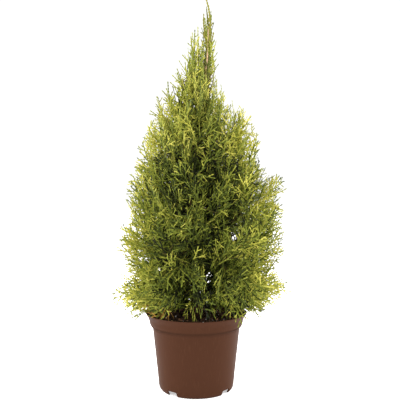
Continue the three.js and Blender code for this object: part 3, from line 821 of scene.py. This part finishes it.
def shoot(chains, start, heading, length, curl, lift, width, shade, parent):
    """Adds one chain of leaf pairs to a frond's chains, in its plane. Parent is the pair it grows from.

    Returns its points, how it heads at each, and the number of its first leaf pair."""
    count = max(2, round(length / LEAF_PITCH))
    share = np.arange(count + 1) / count
    headings = heading + curl * share
    middle = (headings[1:] + headings[:-1]) / 2
    step = length / count
    points = np.zeros((count + 1, 3))
    points[1:, 0] = np.cumsum(step * np.cos(middle))
    points[1:, 1] = np.cumsum(step * np.sin(middle))
    points[:, 2] = lift * length * share
    points += start
    first = sum(len(chain["feet"]) for chain in chains)
    parents = np.arange(first - 1, first + count - 1)
    parents[0] = parent
    chains.append({
        "feet": points[:-1], "tips": points[1:], "widths": width * (1 - LEAF_TAPER * share[1:]),
        "shades": np.full(count, shade), "parents": parents,
    })
    return points, headings, first


def along(bearer, share):
    """The point, the heading and the number of the leaf pair at a share of a shoot."""
    points, headings, first = bearer
    spot = share * (len(points) - 1)
    before = min(int(spot), len(points) - 2)
    rest = spot - before
    return points[before] * (1 - rest) + points[before + 1] * rest, headings[before], first + before


def branch_out(chains, bearer, length, breadth, level, finest, lift, drawn):
    """Side shoots on alternate sides of a shoot, which branch in their turn down to the forked ends."""
    side = 1 if next(drawn) > 0.5 else -1
    at = FORK_SPACING * (0.5 + 0.6 * next(drawn))
    while at < length - SHOOT_END:
        share = at / length
        if level == 1:
            reach = breadth * (1 - share) ** 0.75 * (0.9 + 1.1 * share)
        else:
            reach = 0.55 * (length - at) + SHOOT_END
        reach *= 0.7 + 0.5 * next(drawn)
        turn = FORK_ANGLE * (0.6 + 0.8 * next(drawn))
        tilt = lift + 0.5 * (next(drawn) - 0.5)
        if reach > SHORTEST_SHOOT:
            start, heading, leaf = along(bearer, share)
            shade = level + round(2.6 * (next(drawn) - 0.5))
            side_shoot = shoot(
                chains, start, heading + side * turn, reach, -side * turn * FORK_CURL, tilt,
                LEAF_WIDTH * (1 - 0.06 * level), shade, leaf,
            )
            if level < finest and reach > 2 * SHORTEST_SHOOT:
                branch_out(chains, side_shoot, reach, breadth, level + 1, finest, tilt, drawn)
        side = -side
        at += FORK_SPACING * (0.75 + 0.5 * next(drawn))


def frond(length, breadth, finest, wave, seed):
    """The leaf pairs of one flat frond, its root at the origin and its tip about on +X.

    Of each pair: its foot, its tip, its width, how many tints lighter it is, and the pair it grows from."""
    chains = []
    drawn = draws(seed)
    natural = 0.9 * (next(drawn) - 0.5)
    wave = natural if wave is None else wave
    midrib = shoot(chains, np.zeros(3), -wave / 2, length, wave, 0, LEAF_WIDTH, 0, -1)
    branch_out(chains, midrib, length, breadth, 1, finest, 0, drawn)
    return {key: np.concatenate([chain[key] for chain in chains]) for key in chains[0]}


def set_in_place(leaves, root, direction, roll, bow):
    """Moves a frond's leaves from its own plane to the crown. Bow is how far it curves out of the plane."""
    across = unit(np.cross([0, 0, 1], direction))
    normal = np.cross(direction, across)
    turn = math.radians(roll)
    across, normal = (
        across * math.cos(turn) + normal * math.sin(turn),
        normal * math.cos(turn) - across * math.sin(turn),
    )
    basis = np.stack([direction, across, normal])
    length = max(leaves["tips"][:, 0].max(), 1)
    for key in ("feet", "tips"):
        bent = leaves[key].copy()
        bent[:, 2] += bow * bent[:, 0] ** 2 / length
        leaves[key] = root + bent @ basis
    leaves["normals"] = np.tile(normal, (len(bent), 1))


def kept_clear(leaves, proud, lifted, openings):
    """A frond's leaves without those that would leave the crown, close an opening or touch the pot.

    What would grow on from such a leaf goes with it."""
    tips = leaves["tips"]
    height = tips[:, 2]
    reach = np.hypot(tips[:, 0], tips[:, 1])
    azimuth = np.degrees(np.arctan2(tips[:, 1], tips[:, 0]))
    standing_out = reach - crown_reach(height, azimuth)
    front = np.clip(np.cos(np.radians(azimuth - CLEARING_AZIMUTH)), 0, 1)
    over_soil = (reach < LIP_RADIUS - LIP_MARGIN[0]) & (height > SOIL_CROWN + 2 + lifted * front)
    within_lip = reach < LIP_RADIUS + LIP_MARGIN[1]
    over_lip = within_lip & (height > POT_HEIGHT + 2 + lifted * front ** 2)
    side_hang = np.where(tips[:, 0] > 0, *SIDE_HANG) * np.cos(np.radians(azimuth)) ** 4
    hang = side_hang if lifted else HANG
    beside = ~within_lip & (height > POT_HEIGHT + 4 - hang + lifted * front ** 2)
    good = ((standing_out < proud) | (height > OUTLINE_TOP)) & (over_soil | over_lip | beside)
    away = tips - VIEWPOINT
    for far_end, spots in openings:
        for across, up, half in spots:
            ray = np.array([across, 0, up]) - VIEWPOINT
            off = tips - (VIEWPOINT + away[:, 1:2] / ray[1] * ray)
            outside = np.hypot(off[:, 0], off[:, 2]) > half * away[:, 1] / ray[1] + OPENING_EDGE
            good &= (tips[:, 1] > far_end) | outside
    for leaf, parent in enumerate(leaves["parents"]):
        good[leaf] &= parent < 0 or good[parent]
    leaves["shades"] -= np.clip((standing_out / BROWNED + 0.3).round(), 0, 2).astype(int)
    return {key: column[good] for key, column in leaves.items()}


# The corners of a leaf pair's eight faces: 0 is its foot, 1 its tip, 2 and 3 its edges, 4 and 5 its faces.
WEDGE = np.array([[1, 2, 4], [1, 4, 3], [1, 3, 5], [1, 5, 2], [0, 4, 2], [0, 3, 4], [0, 5, 3], [0, 2, 5]])


def leaf_pairs(feet, tips, widths, normals):
    """Every leaf pair as a flat wedge of eight faces, broad towards its end, that runs into the next."""
    way = tips - feet
    across = unit(np.cross(normals, way)) * widths[:, None] / 2
    face = unit(np.cross(way, across)) * widths[:, None] / 2 * LEAF_FLATNESS
    waist = feet + LEAF_WAIST * way
    foot = feet - LEAF_FOOT * way
    tip = tips + LEAF_TIP * way
    corners = np.stack([foot, tip, waist + across, waist - across, waist + face, waist - face], axis=1)
    corners = corners.reshape(-1, 3)
    faces = (WEDGE[None] + 6 * np.arange(len(feet))[:, None, None]).reshape(-1, 3)
    return corners, faces


def twig_line(root, forward, base, direction):
    """A twig's curve from its root on a stem to the foot of its frond."""
    gap = np.linalg.norm(base - root)
    first = root + forward * gap * TWIG_BEND
    second = base - direction * gap * TWIG_BEND
    t = np.linspace(0, 1, TWIG_POINTS)[:, None]
    return (1 - t) ** 3 * root + 3 * t * (1 - t) ** 2 * first + 3 * t ** 2 * (1 - t) * second + t ** 3 * base


def pointing(height, azimuth, seed):
    """The way a free frond points at a height: up in the crown, drooping at its foot."""
    rise = by_height(POINTING, height) + POINTING_SPREAD[0] * (chance(seed) - 0.5)
    low = min(1, max(0, (DROOP_TOP - height) / DROOP_FADE))
    rise -= DROOP * (1 - abs(math.cos(math.radians(azimuth)))) * low
    rise = math.radians(max(rise, LOWEST_POINTING))
    azimuth += POINTING_SPREAD[1] * (chance(seed + 0.5) - 0.5)
    return place_at(azimuth, math.cos(rise), math.sin(rise))


# Leaf colours from the deepest shade to the newest growth, then the bronze of a few old fronds and the olive
# of the leader. The darkest tints serve as painted shade inside the crown, and the lightest as painted
# backlight on its sides as well as new growth.
LEAF_TINTS = {
    "leaf_black_green": (22, 26, 7),
    "leaf_shade_green": (46, 54, 15),
    "leaf_deep_green": (79, 89, 29),
    "leaf_green": (113, 121, 42),
    "leaf_light_green": (139, 142, 54),
    "leaf_yellow_green": (164, 162, 63),
    "leaf_new_growth_and_backlight": (188, 181, 82),
    "leaf_bronze": (160, 122, 56),
    "leaf_olive": (121, 117, 46),
}
BRONZE = 7
OLIVE = 8
# Which tint a frond is dealt, and how many tints lighter or darker it may be for where it is. Most of these
# shifts are painted light and shade: backlight on the sides, light and shade on the lumps, shade in the folds
# and on the right flank's middle, and shade inside together with older foliage.
TINT = 2.3
TINT_SPREAD = 2.0
TINT_LUMP_LIGHT_AND_SHADE = 2.8
TINT_BACKLIT_SIDES = 2.1
TINT_TOP = 2.3
TOP_BEGINS = 430
TOP_FADE = 160
TINT_OLD_AND_SHADED_INSIDE = -4
INSIDE_ENDS = 600
INSIDE_FADE = 120
TINT_FOLD_SHADE = -1.5
TINT_RIGHT_LIGHT_AND_SHADE = np.array([[160, 0.5], [240, -0.3], [400, -0.4], [480, 0.3]])  # by height: painted shade on the right flank's middle, painted light on its skirt and higher up
BRONZE_SHARE = 0.008
BRONZE_TOP = 420


def tint_of(tip, azimuth, depth, lightest, seed):
    """Which colour a frond is dealt: lighter at the top and, as painted backlight, at the crown's sides;
    darker inside, partly as painted shade, and in the folds as painted shade.
    """
    height = tip[2]
    right = math.cos(math.radians(azimuth))
    sideways = abs(right)
    # Painted backlight: fronds at the crown's sides are dealt lighter tints.
    tint = TINT + TINT_BACKLIT_SIDES * sideways ** 4 + TINT_SPREAD * (chance(seed + 0.25) - 0.5)
    # Painted light and shade: lighter on lumps that stand out of the crown, darker in the hollows between
    # them.
    tint += TINT_LUMP_LIGHT_AND_SHADE * lump_at(tip)
    tint += TINT_TOP * min(1, max(0, (height - TOP_BEGINS) / TOP_FADE))
    # Painted shade on the right flank's middle, painted light on its skirt and its upper part.
    tint += max(0, right) * by_height(TINT_RIGHT_LIGHT_AND_SHADE, height)
    # Darker inside the crown: partly older foliage, partly painted shade.
    tint += TINT_OLD_AND_SHADED_INSIDE * (1 - min(1, depth)) * min(1, max(0.1, (INSIDE_ENDS - height) / INSIDE_FADE))
    # Painted shade in the folds of the crown.
    for fold in FOLDS:
        tint += TINT_FOLD_SHADE * folded(height, azimuth, fold)
    if chance(seed + 0.75) > 1 - BRONZE_SHARE and sideways < 0.8 and height < BRONZE_TOP:
        return BRONZE
    # The lightest tints are kept for the sides and the higher crown, so the lower front stays darker than the
    # painted backlight on the sides.
    lightest = min(lightest, 3 + round(2 * max(sideways, min(1, height / 500))))
    return int(min(lightest, max(0, round(tint))))


fronds = []  # of each: the number of its mass, its leaves, its tint
twigs = []


def grow(habit, tip, azimuth, depth, seed, length, breadth):
    """Grows a twig and its frond to a tip, unless the twig would leave the crown."""
    tip = np.asarray(tip, float)
    best = easiest_root(tip, habit["steady"], habit["mass"])
    if best is None:
        return
    root = places[best]
    reach = np.linalg.norm(tip - root)
    straight = (tip - root) / reach
    direction = unit(straight * (1 - habit["pull"]) + pointing(tip[2], azimuth, seed) * habit["pull"])
    line = None
    if reach < length:
        length, direction, base = reach, straight, root
    else:
        base = tip - direction * length
        line = twig_line(root, forwards[best], base, direction)
        turns = np.degrees(np.arctan2(line[:, 1], line[:, 0]))
        if (np.hypot(line[:, 0], line[:, 1]) > crown_reach(line[:, 2], turns) - TWIG_MARGIN).any():
            return
    facing = 90 - habit["upright"] if int(seed) % CROSSED == CROSSED - 1 else habit["upright"]
    roll = facing + ROLL_SPREAD * (chance(seed + 0.1) - 0.5)
    leaves = frond(length, breadth, habit["finest"], habit["wave"], seed)
    set_in_place(leaves, base, direction, roll, BOW_SPREAD * (chance(seed + 0.3) - 0.5))
    single = habit["tint"] is not None
    lifted = 0 if single or chance(seed + 0.8) < LOW_SHARE else CLEARING
    openings = [] if single else [BARE_BARK]
    if not single and chance(seed + 0.9) > CROSSING:
        openings.append(OPENINGS)
    leaves = kept_clear(leaves, PROUD * chance(seed + 0.6) ** 2, lifted, openings)
    if len(leaves["feet"]):
        leaves["widths"] *= habit["broad"]
        tint = habit["tint"] if single else tint_of(tip, azimuth, depth, habit["lightest"], seed)
        fronds.append((masses[best], leaves, tint))
        if line is not None:
            twigs.append(tube(line, np.linspace(*TWIG_RADII, TWIG_POINTS)[:, None], TWIG_SIDES))


# The leader's shoots: where each ends, how long it is, how broad its leaves are, and how far it turns.
LEADER_BREADTH = 9
LEADER_TINTS = (OLIVE, 4, OLIVE, 3)
LEADER_SEED = 900
LEADER_TIPS = [
    (21, 0, 725, 98, 1.6, 0.55), (22.5, 1, 715, 90, 1.4, 0.5), (25, 1, 711, 84, 1.5, 0.25),
    (27, 1, 705, 80, 1.5, 0.1), (26, 2, 698, 72, 1.4, 0.3), (28.5, 0, 697, 70, 1.4, 0.05),
    (27, 2, 690, 66, 1.4, 0.15), (29, 1, 684, 58, 1.4, 0.1), (26.5, 2, 680, 52, 1.4, 0.1),
    (29, 3, 672, 46, 1.5, 0), (31, 3, 668, 44, 1.4, 0.1), (15, 0, 711, 40, 1.3, 0.2),
    (11, 0, 697, 66, 1.3, 0.3), (13, 3, 689, 58, 1.3, 0.2), (14, 2, 680, 50, 1.4, 0),
    (10, 3, 674, 46, 1.4, 0.2), (13, 3, 668, 38, 1.4, 0), (33, 0, 650, 34, 1.4, 0.2),
    (32, 4, 664, 44, 1.4, 0.2), (12, 3, 656, 32, 1.5, 0), (14, 3, 664, 40, 1.5, 0),
    (17, 2, 690, 60, 1.4, 0.1), (18, 1, 700, 60, 1.3, 0.15),
]
for i, (*tip, reach, broad, wave) in enumerate(LEADER_TIPS):
    habit = {
        **HABIT, "finest": 2, "broad": broad, "pull": 0.05, "steady": reach, "mass": len(limbs) - 1,
        "tint": LEADER_TINTS[i % len(LEADER_TINTS)], "wave": wave,
    }
    grow(habit, tip, 0, 1, LEADER_SEED + i, reach, LEADER_BREADTH)
# Fronds beside the bare top of the trunk: where each ends, and its tint.
CREST_FROND = (58, 14)  # its length and breadth
CREST_SEED = 930
CREST_TIPS = [
    (12, -1, 652, OLIVE), (10, 2, 641, 4), (12, -2, 635, 3), (12, 3, 627, 4), (7, -4, 618, 4),
    (29, -2, 650, OLIVE), (30, 2, 638, 4), (28, -3, 630, OLIVE), (30, 0, 621, 4), (14, 4, 644, OLIVE),
    (27, 4, 644, 3), (31, -3, 640, 3), (33, 2, 628, 4),
]
for i, (*tip, tint) in enumerate(CREST_TIPS):
    habit = {**HABIT, "finest": 2, "broad": 1.4, "pull": 0.3, "steady": 60, "tint": tint}
    grow(habit, tip, 0, 1, CREST_SEED + i, *CREST_FROND)
# Single fronds that hang over the pot's lip: where each ends, and its tint. The two furthest to the right
# take darker tints, painted shade where they hang under the crown.
HANGING_FROND = (56, 24)
HANGING_SEED = 950
HANGING_TIPS = [
    (-92, -42, 140, BRONZE), (-87, -52, 134, BRONZE), (-76, -67, 132, BRONZE), (-64, -79, 137, BRONZE),
    (-82, -60, 143, BRONZE), (-54, -86, 145, 4), (-9, -98, 144, 4), (-18, -90, 146, 4), (4, -93, 149, 3),
    (84, -56, 126, 3), (70, -74, 142, 2), (28, -90, 148, 3),
]
for i, (*tip, tint) in enumerate(HANGING_TIPS):
    azimuth = math.degrees(math.atan2(tip[1], tip[0]))
    habit = {**HABIT, "pull": 0.6, "tint": tint}
    grow(habit, tip, azimuth, 1, HANGING_SEED + i, *HANGING_FROND)

for kind in (OUTER, INNER, LOWEST, FILLING):
    for i, azimuth, depth, tip in crown_tips(kind):
        length = by_height(FROND_LENGTHS, tip[2])
        length *= 0.8 + 0.3 * chance(kind["seed"] + 11 * i)
        breadth = length * by_height(FROND_BREADTHS, tip[2])
        grow(kind, tip, azimuth, depth, kind["seed"] + i, length, breadth)

leaf_finishes = [Finish(name, 0.62, 0.14, tint) for name, tint in LEAF_TINTS.items()]
twig_finish = Finish("twig_bark", 0.85, 0.2, (92, 84, 42))


def place_leaves(name, members):
    """One piece of leaves for all the fronds of these masses."""
    kept = [(leaves, tint) for mass, leaves, tint in fronds if mass in members]
    columns = ("feet", "tips", "widths", "normals")
    corners, faces = leaf_pairs(*(np.concatenate([leaves[key] for leaves, _ in kept]) for key in columns))
    tints = [
        np.full(len(leaves["shades"]), tint) if tint >= BRONZE
        else np.clip(tint + leaves["shades"] - 1, 0, BRONZE - 1)
        for leaves, tint in kept
    ]
    dealt = np.repeat(np.concatenate(tints), len(WEDGE))
    nodes = [f"{limbs[m]['tier']}_foliage_{limbs[m]['side']}".rstrip("_") for m in members]
    place_mesh(name, mesh_of(name, corners, faces, dealt, False), leaf_finishes, nodes)


for tier in ("skirt", "low", "middle", "upper"):
    for half, behind in (("front", False), ("back", True)):
        members = [
            m for m, limb in enumerate(limbs) if limb["tier"] == tier and (limb["azimuth"] <= 180) == behind
        ]
        place_leaves(f"{tier}_leaves_{half}", members)
place_leaves("top_leaves", [m for m, limb in enumerate(limbs) if limb["tier"] in ("top", "crest", "leader")])
mass_nodes = [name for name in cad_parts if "foliage" in name]
place_mesh("twigs", mesh_of("twigs", *gathered(twigs)), [twig_finish], mass_nodes)

# ---------------------------------------------------------------- where it stands
# A white studio: a pale floor without an edge in sight, daylight-white light from all round, and the camera
# level at half the plant's height.
FLOOR_SIZE = 60  # metres, as are the places and sizes of the lights
FLOOR_GLOW = 0.5
LIGHTS_AIM = (0, 0, 0.36)
WORLD_STRENGTH = 1.08
CAMERA_LENS = 50

floor = bmesh.new()
bmesh.ops.create_grid(floor, x_segments=1, y_segments=1, size=FLOOR_SIZE / 2)
floor_mesh = bpy.data.meshes.new("studio_floor")
floor.to_mesh(floor_mesh)
floor.free()
paper = Finish("white_paper", 0.9, 0.1, (250, 250, 250))
paper.set("Emission Color", colour(255, 255, 255))
paper.set("Emission Strength", FLOOR_GLOW)
floor_mesh.materials.append(paper.material)
new_object("studio_floor", floor_mesh)


def soft_light(name, place, size, watts):
    light = bpy.data.lights.new(name, "AREA")
    light.size = size
    light.energy = watts
    holder = new_object(name, light)
    holder.location = place
    aim = Vector(LIGHTS_AIM) - Vector(place)
    holder.rotation_euler = aim.to_track_quat("-Z", "Y").to_euler()


soft_light("left_light", (-1.5, 0.35, 0.9), 1.1, 44)
soft_light("right_light", (1.5, 0.35, 0.9), 1.1, 44)
soft_light("front_light", (-0.7, -1.7, 1.5), 1.6, 16)

world = bpy.data.worlds.new("white_studio")
world.use_nodes = True
background = world.node_tree.nodes["Background"]
background.inputs["Color"].default_value = (1, 1, 1, 1)
background.inputs["Strength"].default_value = WORLD_STRENGTH
bpy.context.scene.world = world
bpy.context.scene.view_settings.view_transform = "Standard"

camera_data = bpy.data.cameras.new("camera")
camera_data.lens = CAMERA_LENS
camera = new_object("camera", camera_data)
camera.location = VIEWPOINT * MM
camera.rotation_euler = (math.radians(90), 0, 0)
bpy.context.scene.camera = camera
